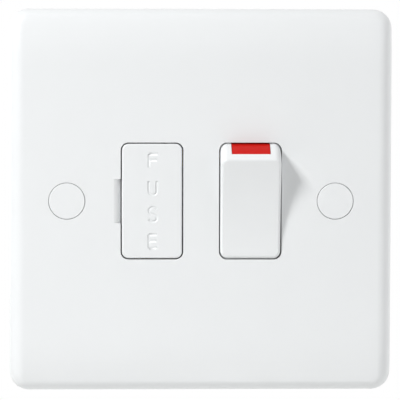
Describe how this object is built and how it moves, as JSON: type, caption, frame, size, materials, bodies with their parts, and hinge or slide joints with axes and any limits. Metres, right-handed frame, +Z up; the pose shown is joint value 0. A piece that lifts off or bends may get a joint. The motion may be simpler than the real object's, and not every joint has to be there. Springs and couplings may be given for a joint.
{
  "type": "switched fused connection unit",
  "caption": "White moulded single-gang wall plate with a pull-out fuse drawer, a double-pole rocker switch with a red on flag, round screw covers and pillar terminals behind.",
  "frame": {"origin": "midway between the two fixing screws, in the plane of the plate's rear rim", "axes": "+X to the right seen from the front, +Y into the wall, +Z up"},
  "size_m": [0.086, 0.0264, 0.086],
  "materials": {
    "white_moulding": "satin, lightly polished",
    "red_insert": "satin",
    "base_moulding": "matt thermoset",
    "fuse_ceramic": "fine matt",
    "plated_cap": "bright nickel plate",
    "clip_brass": "bright, spring-tempered",
    "strip_brass": "satin",
    "contact_silver": "bright silver alloy",
    "terminal_brass": "satin",
    "steel_screw": "zinc plated",
    "spring_steel": "bright wire",
    "plunger_moulding": "smooth, natural"
  },
  "bodies": {
    "housing": {"front_plate": "white_moulding", "rear_base": "base_moulding", "fuse_clip_upper": "clip_brass", "fuse_clip_lower": "clip_brass", "live_fixed_contact": "contact_silver", "neutral_fixed_contact": "contact_silver", "supply_live_strip": "strip_brass", "supply_neutral_strip": "strip_brass", "fuse_feed_strip": "strip_brass", "load_live_strip": "strip_brass", "load_neutral_strip": "strip_brass", "earth_strip": "strip_brass", "supply_live_terminal": "terminal_brass", "supply_neutral_terminal": "terminal_brass", "load_live_terminal": "terminal_brass", "load_neutral_terminal": "terminal_brass", "earth_left_terminal": "terminal_brass", "earth_centre_terminal": "terminal_brass", "terminal_screws": "steel_screw", "assembly_screws": "steel_screw"},
    "fuse_drawer": {"fuse_drawer": "white_moulding", "fuse_tube": "fuse_ceramic", "fuse_cap_upper": "plated_cap", "fuse_cap_lower": "plated_cap"},
    "rocker": {"rocker": "white_moulding", "rocker_flag": "red_insert", "live_spring": "spring_steel", "neutral_spring": "spring_steel"},
    "live_plunger": {"live_plunger": "plunger_moulding"},
    "neutral_plunger": {"neutral_plunger": "plunger_moulding"},
    "live_arm": {"live_arm": "strip_brass", "live_moving_contact": "contact_silver"},
    "neutral_arm": {"neutral_arm": "strip_brass", "neutral_moving_contact": "contact_silver"},
    "left_cover": {"screw_cover_left": "white_moulding"},
    "right_cover": {"screw_cover_right": "white_moulding"}
  },
  "joints": [
    {"name": "rocker_tilt", "type": "hinge", "parent": "housing", "child": "rocker", "pos_m": [0.01105, -0.0035, 0], "axis": [1, 0, 0], "range_deg": [-21.6, 0]},
    {"name": "live_arm_tilt", "type": "hinge", "parent": "housing", "child": "live_arm", "pos_m": [0.00775, 0.00637, 0], "axis": [1, 0, 0], "range_deg": [0, 16]},
    {"name": "neutral_arm_tilt", "type": "hinge", "parent": "housing", "child": "neutral_arm", "pos_m": [0.01435, 0.00637, 0], "axis": [1, 0, 0], "range_deg": [0, 16]},
    {"name": "live_plunger_slide", "type": "slide", "parent": "rocker", "child": "live_plunger", "axis": [0, -0.9823, -0.1874], "range_m": [0, 0.001], "stiffness_N_per_m": 500, "springref_m": -0.002, "deforming": ["live_spring"]},
    {"name": "neutral_plunger_slide", "type": "slide", "parent": "rocker", "child": "neutral_plunger", "axis": [0, -0.9823, -0.1874], "range_m": [0, 0.001], "stiffness_N_per_m": 500, "springref_m": -0.002, "deforming": ["neutral_spring"]},
    {"name": "fuse_drawer_slide", "type": "slide", "parent": "housing", "child": "fuse_drawer", "axis": [0, -1, 0], "range_m": [0, 0.024]},
    {"name": "left_cover_pull", "type": "slide", "parent": "housing", "child": "left_cover", "axis": [0, -1, 0], "range_m": [0, 0.012]},
    {"name": "right_cover_pull", "type": "slide", "parent": "housing", "child": "right_cover", "axis": [0, -1, 0], "range_m": [0, 0.012]}
  ],
  "couplings": [
    {"joint": "live_arm_tilt", "follows": "rocker_tilt", "ratio": -0.74074},
    {"joint": "neutral_arm_tilt", "follows": "rocker_tilt", "ratio": -0.74074}
  ]
}
